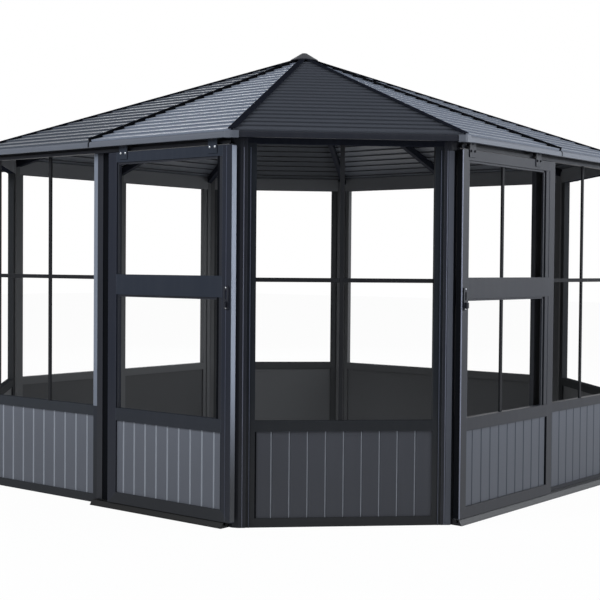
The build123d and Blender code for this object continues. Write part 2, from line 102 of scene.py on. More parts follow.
# Lamps as name, place, size and power
LAMPS = (
    ("key_right", (9.0, -0.5, 4.2), 5.0, 240.0),
    ("soft_right", (7.8, 4.8, 3.4), 7.0, 740.0),
    ("fill_left", (-2.6, -9.8, 6.2), 5.0, 830.0),
    ("back_soft", (-7.5, 8.0, 5.0), 6.0, 300.0),
    ("top_soft", (0.0, 0.0, 9.0), 7.0, 70.0),
)
LAMP_COLOUR = (0.92, 0.96, 1.0)
LAMP_AIM = Vector((0, 0, 1.2))
WHITE = (1, 1, 1, 1)
FLOOR_GREY = (0.80, 0.80, 0.80, 1)
SOFT_WHITE = (0.96, 0.98, 1.0, 1)
FLOOR_REACH = 40.0
FLOOR_DROP = 0.0005

# Properties


def length(label, about, value):
    return FloatProperty(name=label, description=about, default=value, unit="LENGTH")


def angle(label, about, degrees):
    return FloatProperty(name=label, description=about, default=math.radians(degrees), unit="ROTATION")


def paint_colour(label, about, value):
    return FloatVectorProperty(name=label, description=about, default=value,
                               subtype="COLOR", size=3, min=0, max=1)


class GazeboSizes(bpy.types.PropertyGroup):
    """Sizes of the small fittings"""
    bar_width: length("Bar width", "Face width of a window bar", 0.022)
    bar_depth: length("Bar depth", "Depth of a window bar", 0.012)
    bar_height: length("Bar height", "Height of the level window bar above the floor", 1.2615)
    bar_inset: length("Bar inset", "Depth of a window bar's middle behind the wall's outer face", 0.020)
    door_bar_shift: length("Door bar shift", "Shift of the side door's bar from the middle", 0.058)
    front_bar_shift: length("Front bar shift", "Shift of the front window's upright bar", 0.043)
    corner_bar_shift: length("Corner bar shift", "Shift of the corner window's upright bar", -0.020)
    cover_width: length("Cover width", "Width of a cover strip on a near corner post", 0.029)
    bead_line: length("Bead line", "Distance of the thin bead from the bend of a near post", 0.070)
    inlay_width: length("Inlay width", "Width of the pale inlay in a post groove", 0.0036)
    inlay_place: length("Inlay place", "Distance of the post groove from the bend of the post", 0.036)
    gasket_width: length("Gasket width", "Face width of a door gasket", 0.018)
    # Black strip beside a knee panel: painted shade of the gap
    knee_shade_strip_width: length("Knee shade strip width", "Face width of the gasket beside a knee panel", 0.008)
    rebate_front: length("Front rebate", "Step beside the front door's right stile", 0.020)
    rebate_side: length("Side rebate", "Step beside the side door's right stile", 0.040)
    bead_width: length("Bead width", "Face width of a glazing bead", 0.012)
    eave_strip: length("Eave strip", "Width of the black strip over a joint of the eave rails", 0.009)
    eave_round: length("Eave round", "Radius of the eave rails' upper edge", 0.014)
    bolt_radius: length("Bolt radius", "Radius of a round bolt head", 0.0065)
    bolt_spread: length("Bolt spread", "Distance between the bolts of a hanger", 0.036)
    screw_radius: length("Screw radius", "Radius of a small screw head", 0.0045)


class GazeboColours(bpy.types.PropertyGroup):
    """Colours of the finishes"""
    frame_paint: paint_colour("Frame paint", "Powder coat of posts and rails", (0.0120, 0.0136, 0.0200))
    panel_paint: paint_colour("Panel paint", "Paint of the grooved knee panels", (0.122, 0.131, 0.157))
    roof_paint: paint_colour("Roof paint", "Coating of the roof sheets", (0.096, 0.108, 0.134))
    # Painted shade: the cut corners' roof is darker for how the light falls on it
    corner_roof_shade_paint: paint_colour("Corner roof shade paint", "Coating of the cut corners' roof", (0.070, 0.075, 0.090))
    eave_paint: paint_colour("Eave paint", "Paler coat of eave rails and joints", (0.106, 0.115, 0.138))
    # Painted highlight: the bright side of the board grooves stands in for the side lamp's light
    groove_highlight_paint: paint_colour("Groove highlight paint", "Bright side of the board grooves", (0.31, 0.33, 0.37))
    # Painted shade: darker copies of the panel paint for the side and corner knee panels, for how the light
    # falls on them
    side_panel_shade_paint: paint_colour("Side panel shade paint", "Paint of side knee panels", (0.070, 0.077, 0.096))
    corner_panel_shade_paint: paint_colour("Corner panel shade paint", "Paint of the cut corners' knee panels",
                                     (0.055, 0.058, 0.070))
    glazing_paint: paint_colour("Glazing paint", "Pale coat of the trims beside the front window",
                                (0.172, 0.192, 0.235))
    rail_paint: paint_colour("Rail paint", "Matt coat of window rails", (0.0193, 0.0219, 0.0269))
    door_rail_paint: paint_colour("Door rail paint", "Matt coat of door rails", (0.0317, 0.0365, 0.0484))
    # Painted highlight: the front door's edge is bright as if lit by the side lamp
    edge_highlight_paint: paint_colour("Edge highlight paint", "Bright edge of the front door", (0.28, 0.31, 0.38))
    guide_paint: paint_colour("Guide paint", "Grey of the bottom door guides", (0.055, 0.056, 0.060))
    cover_paint: paint_colour("Cover paint", "Slate cover strip on a near corner post", (0.085, 0.092, 0.115))
    trim_paint: paint_colour("Trim paint", "Pale metal of thin trims", (0.19, 0.20, 0.26))
    bar_paint: paint_colour("Bar paint", "Paint of the window bars", (0.014, 0.0145, 0.0165))
    # Painted light: the faces inside get this tone for how light falls in the room
    inside_light_paint: paint_colour("Lining paint", "Coat of the faces inside", (0.074, 0.075, 0.078))
    strip_rubber: paint_colour("Strip rubber", "Black seam and closing strips", (0.006, 0.0065, 0.008))
    bolt_steel: paint_colour("Bolt steel", "Bare steel of bolts and screws", (0.30, 0.31, 0.33))


class GazeboStage(bpy.types.PropertyGroup):
    """Camera and light"""
    camera_place: FloatVectorProperty(name="Camera place", description="Where the camera stands",
                                      subtype="TRANSLATION", size=3, default=(5.218, -6.541, 1.330))
    camera_yaw: angle("Yaw", "Turn of the camera to the left of +Y", 38.683)
    camera_pitch: angle("Pitch", "Tilt of the camera, down is positive", 1.528)
    camera_roll: angle("Roll", "Roll of the camera", 0.475)
    focal_pixels: FloatProperty(name="Focal length", description="Focal length in pixels of the photo",
                                default=1254.14)
    photo_pixels: IntProperty(name="Photo width", description="Width of the photo in pixels", default=600)
    floor_white: FloatProperty(name="Floor white", description="Share of plain white in the floor as seen",
                               default=0.97, min=0.0, max=1.0)
    soft_light: FloatProperty(name="Soft light", description="Strength of the even light from all around",
                              default=0.14, min=0.0)


# Shader helpers

COLOUR, NUMBER, VECTOR = "NodeSocketColor", "NodeSocketFloat", "NodeSocketVector"
COLOUR_AND_MASK = (("Colour", COLOUR), ("Mask", NUMBER))
DARK = (0.04, 0.04, 0.05, 1)


def add_node(tree, kind, feeds=None, **settings):
    """New node; feeds maps its inputs to sockets that are linked in or to plain values. Returns outputs."""
    made = tree.nodes.new(kind)
    for key, value in settings.items():
        setattr(made, key, value)
    for key, value in (feeds or {}).items():
        if isinstance(value, bpy.types.NodeSocket):
            tree.links.new(value, made.inputs[key])
        else:
            made.inputs[key].default_value = value
    return made.outputs


def new_group(name, inputs, outputs=COLOUR_AND_MASK):
    """Empty shader node group with typed sockets; returns the tree and the sockets that it is given."""
    tree = bpy.data.node_groups.new(name, "ShaderNodeTree")
    for socket, kind, value in inputs:
        made = tree.interface.new_socket(socket, in_out="INPUT", socket_type=kind)
        made.default_value = value
    for socket, kind in outputs:
        tree.interface.new_socket(socket, in_out="OUTPUT", socket_type=kind)
    return tree, tree.nodes.new("NodeGroupInput").outputs


def end_group(tree, **results):
    """Link a group's results to its outputs."""
    end = tree.nodes.new("NodeGroupOutput")
    for name, socket in results.items():
        tree.links.new(socket, end.inputs[name])
    return tree


def object_place(tree):
    return add_node(tree, "ShaderNodeTexCoord")["Object"]


def noise(tree, place, scale, detail=2.0):
    return add_node(tree, "ShaderNodeTexNoise", {"Vector": place, "Scale": scale, "Detail": detail})["Fac"]


def ramp(tree, value, low, high, **settings):
    """Share from 0 at low to 1 at high."""
    feeds = {"Value": value, "From Min": low, "From Max": high}
    return add_node(tree, "ShaderNodeMapRange", feeds, **settings)["Result"]


def calculate(tree, operation, *values):
    return add_node(tree, "ShaderNodeMath", dict(enumerate(values)), operation=operation)[0]


def scale_colour(tree, colour, share):
    return add_node(tree, "ShaderNodeVectorMath", {0: colour, "Scale": share}, operation="SCALE")[0]


def dot_product(tree, first, second):
    return add_node(tree, "ShaderNodeVectorMath", {0: first, 1: second}, operation="DOT_PRODUCT")["Value"]


def mix_colours(tree, share, first, second):
    feeds = {"Factor": share, "A": first, "B": second}
    return add_node(tree, "ShaderNodeMix", feeds, data_type="RGBA")["Result"]


# Shader groups


def powder_coat_group():
    """Fine orange-peel of a powder coat: broad colour drift, roughness drift and a bump height."""
    tree, given = new_group(
        "powder_coat",
        (("Colour", COLOUR, DARK), ("Drift", NUMBER, 0.08), ("Roughness", NUMBER, 0.42)),
        (("Colour", COLOUR), ("Roughness", NUMBER), ("Height", NUMBER)))
    place = object_place(tree)
    broad = noise(tree, place, 2.3, 4.0)
    fine = noise(tree, place, 420.0)
    spread = add_node(tree, "ShaderNodeMapRange", {"Value": broad, "To Min": -1.0, "To Max": 1.0})["Result"]
    drift = calculate(tree, "MULTIPLY", spread, given["Drift"])
    tint = scale_colour(tree, given["Colour"], calculate(tree, "ADD", drift, 1.0))
    rough = calculate(tree, "MULTIPLY_ADD", broad, 0.12, given["Roughness"])
    return end_group(tree, Colour=tint, Roughness=rough, Height=fine)


def edge_wear_highlight_group():
    """Lighter paint on outward edges, from how sharply the surface turns: edge wear, and at high amounts a
    painted highlight along the edges.
    """
    tree, given = new_group(
        "edge_wear_highlight",
        (("Colour", COLOUR, DARK), ("Rubbed", COLOUR, (0.2, 0.2, 0.22, 1)),
         ("Amount", NUMBER, 0.35), ("Width", NUMBER, 0.004)))
    rounded = add_node(tree, "ShaderNodeBevel", {"Radius": given["Width"]}, samples=4)["Normal"]
    normal = add_node(tree, "ShaderNodeNewGeometry")["Normal"]
    edge = ramp(tree, dot_product(tree, rounded, normal), 0.995, 0.85)
    broken = calculate(tree, "MULTIPLY", edge, noise(tree, object_place(tree), 14.0))
    amount = calculate(tree, "MULTIPLY", broken, given["Amount"])
    return end_group(tree, Colour=mix_colours(tree, amount, given["Colour"], given["Rubbed"]), Mask=amount)


def dust_and_ground_tone_group():
    """Faint run marks of settled dust, and a grey tone that fades upward from the ground."""
    tree, given = new_group(
        "dust_and_ground_tone",
        (("Colour", COLOUR, DARK), ("Dust", COLOUR, (0.25, 0.25, 0.25, 1)), ("Amount", NUMBER, 0.08),
         ("Splash", COLOUR, (0.036, 0.036, 0.037, 1)), ("Splashed", NUMBER, 0.35)))
    place = object_place(tree)
    stretched = add_node(tree, "ShaderNodeMapping", {"Vector": place, "Scale": (9.0, 9.0, 0.7)})["Vector"]
    runs = ramp(tree, noise(tree, stretched, 3.0, 5.0), 0.42, 0.75)
    mask = calculate(tree, "MULTIPLY", runs, given["Amount"])
    dusty = mix_colours(tree, mask, given["Colour"], given["Dust"])
    # Grey tone that fades upward from the ground
    height = add_node(tree, "ShaderNodeSeparateXYZ", {0: place})["Z"]
    low = ramp(tree, height, 0.95, 0.15, interpolation_type="SMOOTHSTEP")
    ground_mask = calculate(tree, "MULTIPLY", low, given["Splashed"])
    return end_group(tree, Colour=mix_colours(tree, ground_mask, dusty, given["Splash"]), Mask=mask)


def inside_light_group():
    """Painted light and shade: another colour on the faces that look into the room, set for how light falls
    inside.
    """
    tree, given = new_group("inside_light", (("Colour", COLOUR, DARK), ("Lining", COLOUR, (0.03, 0.03, 0.03, 1))))
    flat = {0: object_place(tree), 1: (1.0, 1.0, 0.0)}
    away = add_node(tree, "ShaderNodeVectorMath", flat, operation="MULTIPLY")[0]
    way = add_node(tree, "ShaderNodeVectorMath", {0: away}, operation="NORMALIZE")[0]
    normal = add_node(tree, "ShaderNodeNewGeometry")["True Normal"]
    inward = ramp(tree, dot_product(tree, way, normal), -0.1, -0.3)
    return end_group(tree, Colour=mix_colours(tree, inward, given["Colour"], given["Lining"]), Mask=inward)


def painted_facet_light_group():
    """Painted light and shade: a second colour on the faces that turn half towards a given direction, lighter
    where they would catch the light, darker where they would lie in shadow.
    """
    tree, given = new_group(
        "painted_facet_light",
        (("Colour", COLOUR, DARK), ("Lit", COLOUR, (0.3, 0.3, 0.3, 1)), ("Along", VECTOR, (1, 0, 0))))
    normal = add_node(tree, "ShaderNodeNewGeometry")["True Normal"]
    picked = calculate(tree, "COMPARE", dot_product(tree, normal, given["Along"]), 0.55, 0.20)
    return end_group(tree, Colour=mix_colours(tree, picked, given["Colour"], given["Lit"]), Mask=picked)


def painted_sheet_shade_group():
    """Painted shade: a darker tone on the sheets that lie on one side of the middle."""
    tree, given = new_group(
        "painted_sheet_shade",
        (("Colour", COLOUR, DARK), ("Along", VECTOR, (1, 0, 0)), ("Shade", NUMBER, 0.6)))
    beyond = dot_product(tree, object_place(tree), given["Along"])
    mask = calculate(tree, "GREATER_THAN", beyond, 0.0)
    darker = scale_colour(tree, given["Colour"], given["Shade"])
    return end_group(tree, Colour=mix_colours(tree, mask, given["Colour"], darker), Mask=mask)


GROUPS = {
    "powder_coat": powder_coat_group, "edge_wear_highlight": edge_wear_highlight_group, "dust_and_ground_tone": dust_and_ground_tone_group,
    "inside_light": inside_light_group, "painted_facet_light": painted_facet_light_group, "painted_sheet_shade": painted_sheet_shade_group,
}


def place_group(tree, name, **feeds):
    """Put a shared group into a material, built on first use; returns its outputs."""
    group = bpy.data.node_groups.get(name) or GROUPS[name]()
    return add_node(tree, "ShaderNodeGroup", feeds, node_tree=group)


# Finishes


def coated_metal(name, colour, roughness, wear_highlight=0.3, dust=0.015, bump=0.06, metallic=0.0, shine=0.13,
                 inside_light=None, painted_facets=None, shade=None, ground_share=0.35):
    """Painted metal from the shared groups; the facet colour and direction (colour, direction) paint light
    and shade on the faces turned that way, and the shade direction and share (direction, share) paint shade
    on one side of the middle.
    """
    edge_gain, edge_lift, bump_depth = 2.6, 0.02, 0.0006
    material = bpy.data.materials.new(name)
    material.use_nodes = True
    tree = material.node_tree
    shader = tree.nodes["Principled BSDF"]
    edge_tone = [min(1, c * edge_gain + edge_lift) for c in colour]
    coat = place_group(tree, "powder_coat", Colour=(*colour, 1), Roughness=roughness)
    last = place_group(tree, "edge_wear_highlight", Colour=coat["Colour"], Rubbed=(*edge_tone, 1), Amount=wear_highlight)["Colour"]
    last = place_group(tree, "dust_and_ground_tone", Colour=last, Amount=dust, Splashed=ground_share)["Colour"]
    # Painted light and shade on the faces turned one way
    if painted_facets:
        last = place_group(tree, "painted_facet_light", Colour=last, Lit=(*painted_facets[0], 1), Along=painted_facets[1])["Colour"]
    # Painted shade on one side of the middle
    if shade:
        last = place_group(tree, "painted_sheet_shade", Colour=last, Along=shade[0], Shade=shade[1])["Colour"]
    # Painted light and shade on the faces that look into the room
    last = place_group(tree, "inside_light", Colour=last, Lining=(*(inside_light or colour), 1))["Colour"]
    relief = {"Height": coat["Height"], "Strength": bump, "Distance": bump_depth}
    tree.links.new(last, shader.inputs["Base Color"])
    tree.links.new(coat["Roughness"], shader.inputs["Roughness"])
    tree.links.new(add_node(tree, "ShaderNodeBump", relief)["Normal"], shader.inputs["Normal"])
    shader.inputs["Metallic"].default_value = metallic
    shader.inputs["Specular IOR Level"].default_value = shine
    return material


def toned(colour, share):
    return [c * share for c in colour]


def finish_table(colours):
    """Colour, roughness and options of every finish."""
    # Painted light: the faces that look into the room get lighter and darker copies of the inside tone
    inside = colours.inside_light_paint
    low_inside = toned(inside, 0.6)
    roof_inside = toned(inside, 0.95)
    frame_paint, rail_paint, roof_paint = colours.frame_paint, colours.rail_paint, colours.roof_paint
    matt_rail = dict(inside_light=low_inside, shine=0.0, ground_share=0.8)
    board = dict(wear_highlight=0.15, inside_light=inside)
    sheet = dict(dust=0.04, inside_light=roof_inside)
    return {
        "frame_coat": (frame_paint, 0.42, dict(inside_light=inside)),
        # The headers' inner faces get a lighter inside tone as painted light
        "head_coat": (frame_paint, 0.5, dict(inside_light=toned(inside, 1.9), shine=0.0)),
        "rail_coat": (rail_paint, 0.5, matt_rail),
        "sill_coat": (toned(rail_paint, 2.1), 0.5, matt_rail),
        "door_rail_coat": (colours.door_rail_paint, 0.5, matt_rail),
        # Door stiles and posts get a high edge amount: painted highlights along their edges
        "door_stile_coat": (toned(frame_paint, 1.5), 0.40, dict(wear_highlight=1.6, inside_light=inside, shine=0.05)),
        "post_coat": (frame_paint, 0.40, dict(wear_highlight=1.6, inside_light=inside)),
        # Painted highlight: a much lighter frame tone for thin highlight lines on the front door and near
        # post
        "highlight_line_coat": (toned(frame_paint, 4.2), 0.40, dict(wear_highlight=0.6, inside_light=inside)),
        "glazing_trim": (colours.glazing_paint, 0.40, dict(wear_highlight=0.0)),
        "edge_painted_highlight": (colours.edge_highlight_paint, 0.35, dict(wear_highlight=0.0, ground_share=0.95)),
        "cover_coat": (colours.cover_paint, 0.40, dict(wear_highlight=0.0)),
        "cap_coat": (toned(frame_paint, 0.9), 0.6, dict(wear_highlight=0.2, shine=0.0)),
        "panel_coat": (colours.panel_paint, 0.48, board),
        # Painted shade: the knee panels get darker copies by side, and the left ones a darker inside tone
        "left_panel_inside_shade": (colours.panel_paint, 0.48, dict(wear_highlight=0.15, inside_light=low_inside)),
        # Front and corner knee panels: painted highlights on the groove sides that face the side lamp
        "front_panel_groove_highlight": (colours.panel_paint, 0.48, dict(
            board, painted_facets=(colours.groove_highlight_paint, (1, 0, 0)))),
        "side_panel_painted_shade": (colours.side_panel_shade_paint, 0.48, board),
        "corner_panel_shade_and_highlight": (colours.corner_panel_shade_paint, 0.48, dict(
            board, painted_facets=(toned(colours.groove_highlight_paint, 0.6), (0.7071, 0.7071, 0)))),
        "trim_light": (colours.trim_paint, 0.35, dict(wear_highlight=0.0)),
        "jamb_painted_shade": (toned(colours.bar_paint, 2.4), 0.6, dict(wear_highlight=0.0, shine=0.05)),
        # Painted shade: the front guide is darker and the guide faces turned to the corner are black, as
        # shadow
        "guide_painted_shade": (colours.guide_paint, 0.40, dict(
            shade=((-1, -1, 0), 0.15), painted_facets=(colours.strip_rubber, (0, -0.55, 0)))),
        # Painted light and shade: roof sheets lighter on the front and side with lit risers and a darker far
        # half, darker on the cut corners
        "roof_coat": (toned(roof_paint, 1.5), 0.36, dict(sheet, wear_highlight=0.4)),
        "front_roof_light_and_shade": (toned(roof_paint, 1.8), 0.36, dict(
            sheet, wear_highlight=0.2, painted_facets=(toned(roof_paint, 1.9), (0, -0.585, 0)), shade=((-1, 0, 0), 0.42))),
        "side_roof_light_and_shade": (toned(roof_paint, 1.8), 0.36, dict(
            sheet, wear_highlight=0.4, painted_facets=(toned(roof_paint, 1.3), (0.585, 0, 0)), shade=((0, 1, 0), 0.85))),
        "corner_roof_painted_shade": (colours.corner_roof_shade_paint, 0.6, dict(
            wear_highlight=0.3, dust=0.0, inside_light=roof_inside, shine=0.0)),
        "rafter_coat": (frame_paint, 0.6, dict(wear_highlight=0.0, shine=0.03)),
        "eave_coat": (colours.eave_paint, 0.40, dict(inside_light=inside)),
        "bar_coat": (colours.bar_paint, 0.55, dict(wear_highlight=0.0, shine=0.05)),
        "strip_black": (colours.strip_rubber, 0.7, dict(
            wear_highlight=0.0, dust=0.0, bump=0.15, shine=0.0, ground_share=0.0)),
        "bolt_bright": (colours.bolt_steel, 0.32, dict(wear_highlight=0.3, dust=0.1, metallic=1.0)),
    }


def finish(name):
    """Material by the name of its finish, made on first use."""
    found = bpy.data.materials.get(name)
    if found:
        return found
    recipe = finish_table(bpy.context.scene.gazebo_colours).get(name)
    if not recipe:
        raise RuntimeError(f"no finish is called {name}")
    colour, roughness, options = recipe
    return coated_metal(name, colour, roughness, **options)


# Mesh helpers


def wall_matrix(turn, distance):
    """Frame on a wall's outer face: x along it, y outward, z up."""
    around = math.radians(turn)
    out = Vector((math.cos(around), math.sin(around), 0))
    right = Vector((-math.sin(around), math.cos(around), 0))
    matrix = Matrix.Identity(4)
    matrix.col[0][:3] = right
    matrix.col[1][:3] = out
    matrix.col[2][:3] = (0, 0, 1)
    matrix.col[3][:3] = out * distance
    return matrix


def wall_points(matrix, node):
    """Vertices of a solid in a wall's frame."""
    inverse = matrix.inverted()
    return [inverse @ v.co for v in NODES[node].data.vertices]


def extent(points, axis):
    """Lowest and highest place of points along an axis."""
    places = [point[axis] for point in points]
    return min(places), max(places)


def around_middle(middle, width):
    return middle - width / 2, middle + width / 2


def behind(face, depths):
    """Back and front of a strip from its depths behind a face."""
    return face - depths[0], face - depths[1]


def make_piece(name, shape, body, finish_name, bevel=0.0):
    """Object from a bmesh in the frame of the solids, riding on a body."""
    mesh = bpy.data.meshes.new(name)
    bmesh.ops.recalc_face_normals(shape, faces=shape.faces)
    shape.to_mesh(mesh)
    shape.free()
    mesh.materials.append(finish(finish_name))
    piece = bpy.data.objects.new(name, mesh)
    bpy.context.scene.collection.objects.link(piece)
    if bevel:
        rounded = piece.modifiers.new("soft edges", "BEVEL")
        rounded.width = bevel
        rounded.segments = 2
        rounded.limit_method = "ANGLE"
    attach(piece, body)
    return piece


def add_bar(shape, matrix, span, reach, rise):
    """Box in a wall's frame between (low, high) along it, outward and up."""
    low = Vector((span[0], reach[0], rise[0]))
    size = Vector((span[1] - span[0], reach[1] - reach[0], rise[1] - rise[0]))
    made = bmesh.ops.create_cube(shape, size=1.0)["verts"]
    bmesh.ops.scale(shape, vec=size, verts=made)
    bmesh.ops.translate(shape, vec=low + size / 2, verts=made)
    bmesh.ops.transform(shape, matrix=matrix, verts=made)


def make_bars(name, matrix, boxes, body, finish_name, bevel):
    """Piece of boxes in a wall's frame, each given as its span, reach and rise."""
    shape = bmesh.new()
    for span, reach, rise in boxes:
        add_bar(shape, matrix, span, reach, rise)
    make_piece(name, shape, body, finish_name, bevel)


def add_prism(shape, matrix, span, outline):
    """Prism along a wall between two places, from an outline of (outward, up) points."""
    ends = [[shape.verts.new(matrix @ Vector((along, *point))) for point in outline] for along in span]
    for step in range(len(outline)):
        after = (step + 1) % len(outline)
        shape.faces.new((ends[0][step], ends[0][after], ends[1][after], ends[1][step]))
    for end in ends:
        shape.faces.new(end)


def add_head(shape, matrix, place, radius, height, sides):
    """Domed head on a wall's face; place is (along, outward, up)."""
    profile = [(radius, 0.0), (radius, height * 0.45), (radius * 0.8, height * 0.8), (radius * 0.42, height)]
    rings = []
    for ring_radius, lift in profile:
        ring = []
        for step in range(sides):
            around = 2 * math.pi * step / sides
            point = Vector((place[0] + ring_radius * math.cos(around), place[1] + lift,
                            place[2] + ring_radius * math.sin(around)))
            ring.append(shape.verts.new(matrix @ point))
        rings.append(ring)
    for lower, upper in zip(rings, rings[1:]):
        for step in range(sides):
            after = (step + 1) % sides
            shape.faces.new((lower[step], lower[after], upper[after], upper[step]))
    shape.faces.new(rings[-1])
    shape.faces.new(list(reversed(rings[0])))


def make_heads(name, matrix, places, radius, height, body, finish_name, sides=14):
    """Piece of bolt or screw heads on a wall."""
    shape = bmesh.new()
    for place in places:
        add_head(shape, matrix, place, radius, height, sides)
    make_piece(name, shape, body, finish_name)


def leaf_frame(door):
    """Frame of a door's wall, and the leaf's outer and inner spans, faces, rise, knee and panes in it."""
    matrix = wall_matrix(DOORS[door], FLAT_FACE)
    stiles = wall_points(matrix, f"{door}_door_stiles")
    edges = sorted({round(v.x, 4) for v in stiles})
    levels = sorted({round(v.z, 4) for v in wall_points(matrix, f"{door}_door_rails")})
    back, face = extent(stiles, 1)
    return matrix, {
        "outer": (edges[0], edges[-1]), "inner": (edges[1], edges[-2]), "back": back, "face": face,
        "rise": (levels[1] + END_GAP, levels[-1] - END_GAP), "knee": levels[2:4],
        "panes": (levels[4:6], levels[6:8]),
    }


# Operators


class GAZEBO_OT_finish_frame(bpy.types.Operator):
    """Paint the posts, rails, panels, roof and doors"""
    bl_idname = "gazebo.finish_frame"
    bl_label = "Finish the frame"

    def execute(self, context):
        for node, solid in NODES.items():
            by_part = next((name for part, name in PART_FINISH if part in node), "frame_coat")
            solid.data.materials.clear()
            solid.data.materials.append(finish(NODE_FINISH.get(node, by_part)))
        return {"FINISHED"}


class GAZEBO_OT_window_bars(bpy.types.Operator):
    """Set a cross of thin bars in the three windows around the near corner and a bar in the side door"""
    bl_idname = "gazebo.window_bars"
    bl_label = "Window bars"

    def execute(self, context):
        sizes = context.scene.gazebo_sizes
        soft = 0.002
        flat_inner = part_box("back_window_rails")[1].x
        mid_inner = min(abs(v.co.x) for v in NODES["back_window_rails"].data.vertices)
        corner_half = max(abs(v.co.x + v.co.y) for v in NODES["corner_window_rails"].data.vertices
                          if v.co.x > 0 > v.co.y) / math.sqrt(2)
        windows = (("front", -90.0, FLAT_FACE, (-flat_inner, -mid_inner), sizes.front_bar_shift),
                   ("side", 0.0, FLAT_FACE, (mid_inner, flat_inner), 0.0),
                   ("corner", -45.0, CORNER_FACE, (-corner_half, corner_half), sizes.corner_bar_shift))
        level = around_middle(sizes.bar_height, sizes.bar_width)
        reach = around_middle(-sizes.bar_inset, sizes.bar_depth)
        for name, turn, distance, span, shift in windows:
            upright = around_middle(sum(span) / 2 + shift, sizes.bar_width)
            make_bars(f"window_bars_{name}", wall_matrix(turn, distance), [
                (upright, reach, (SILL_TOP, HEAD)),
                ((span[0], upright[0]), reach, level),
                ((upright[1], span[1]), reach, level),
            ], "gazebo", "bar_coat", soft)

        matrix, leaf = leaf_frame("side")
        upright = around_middle(sum(leaf["inner"]) / 2 - sizes.door_bar_shift, sizes.bar_width)
        reach = around_middle(leaf["back"] + sizes.bar_depth, sizes.bar_depth)
        make_bars("side_door_bar", matrix, [(upright, reach, rise) for rise in leaf["panes"]],
                  "side_door", "bar_coat", soft)
        return {"FINISHED"}


class GAZEBO_OT_gaskets(bpy.types.Operator):
    """Black gaskets and glazing beads on the door leaves, black strips of painted shade beside the knee
    panels, and a seal on the side door's closing edge
    """
    bl_idname = "gazebo.gaskets"
    bl_label = "Gaskets"

    def execute(self, context):
        sizes = context.scene.gazebo_sizes
        gasket_soft, bead_soft, seal_soft = 0.0008, 0.0015, 0.001
        bead, knee_shade_width = sizes.bead_width, sizes.knee_shade_strip_width
        for door in DOORS:
            matrix, leaf = leaf_frame(door)
            face = leaf["face"]
            start, edge = leaf["inner"]
            step = edge - {"front": sizes.rebate_front, "side": sizes.rebate_side}[door]
            black = (step - sizes.gasket_width, step)
            # Black strip beside the knee panel: painted shade in its gap, next to the real pane gaskets
            gaskets_and_shade_strips = [((edge - knee_shade_width, edge), behind(face, KNEE_SHADE_STRIP), leaf["knee"])]
            beads = []
            for low, high in leaf["panes"]:
                gaskets_and_shade_strips.append((black, behind(face, PANE_GASKET), (low, high)))
                beads += [((step, edge), behind(face, REBATE), (low, high)),
                          ((start, start + bead), behind(face, PANE_BEAD), (low, high)),
                          ((start + bead, black[0]), behind(face, PANE_BEAD), (high - bead, high))]
                if door == "side":
                    beads.append(((black[0] - bead, black[0]), behind(face, INNER_BEAD), (low, high - bead)))
            body = f"{door}_door"
            make_bars(f"{door}_door_gasket_and_shade_strip", matrix, gaskets_and_shade_strips, body, "strip_black", gasket_soft)
            make_bars(f"{door}_door_beads", matrix, beads, body, "frame_coat", bead_soft)

        near_depth, gasket_proud = 0.1, 0.004
        corner = wall_matrix(CORNERS["front_side"], CORNER_FACE)
        near = [v for v in wall_points(corner, "corner_knee_panels") if v.y > -near_depth]
        left, front = extent(near, 0)[0], extent(near, 1)[1]
        # Black strip at the left of the corner knee panel: painted shade in its gap
        make_bars("corner_panel_shade_strip", corner, [
            ((left, left + knee_shade_width), (front - SINK, front + gasket_proud), extent(near, 2)),
        ], "gazebo", "strip_black", gasket_soft)

        ribs, rib_share, seal_proud, seal_inset = 3, 0.98, 0.003, 0.003
        matrix, leaf = leaf_frame("side")
        edge = leaf["outer"][0]
        first = leaf["back"] + SINK
        depth = (leaf["face"] - seal_inset - first) / ribs
        make_bars("side_door_seal", matrix, [
            ((edge - seal_proud, edge + SINK), (first + rib * depth, first + rib * depth + depth * rib_share),
             leaf["rise"]) for rib in range(ribs)
        ], "side_door", "strip_black", seal_soft)
        return {"FINISHED"}


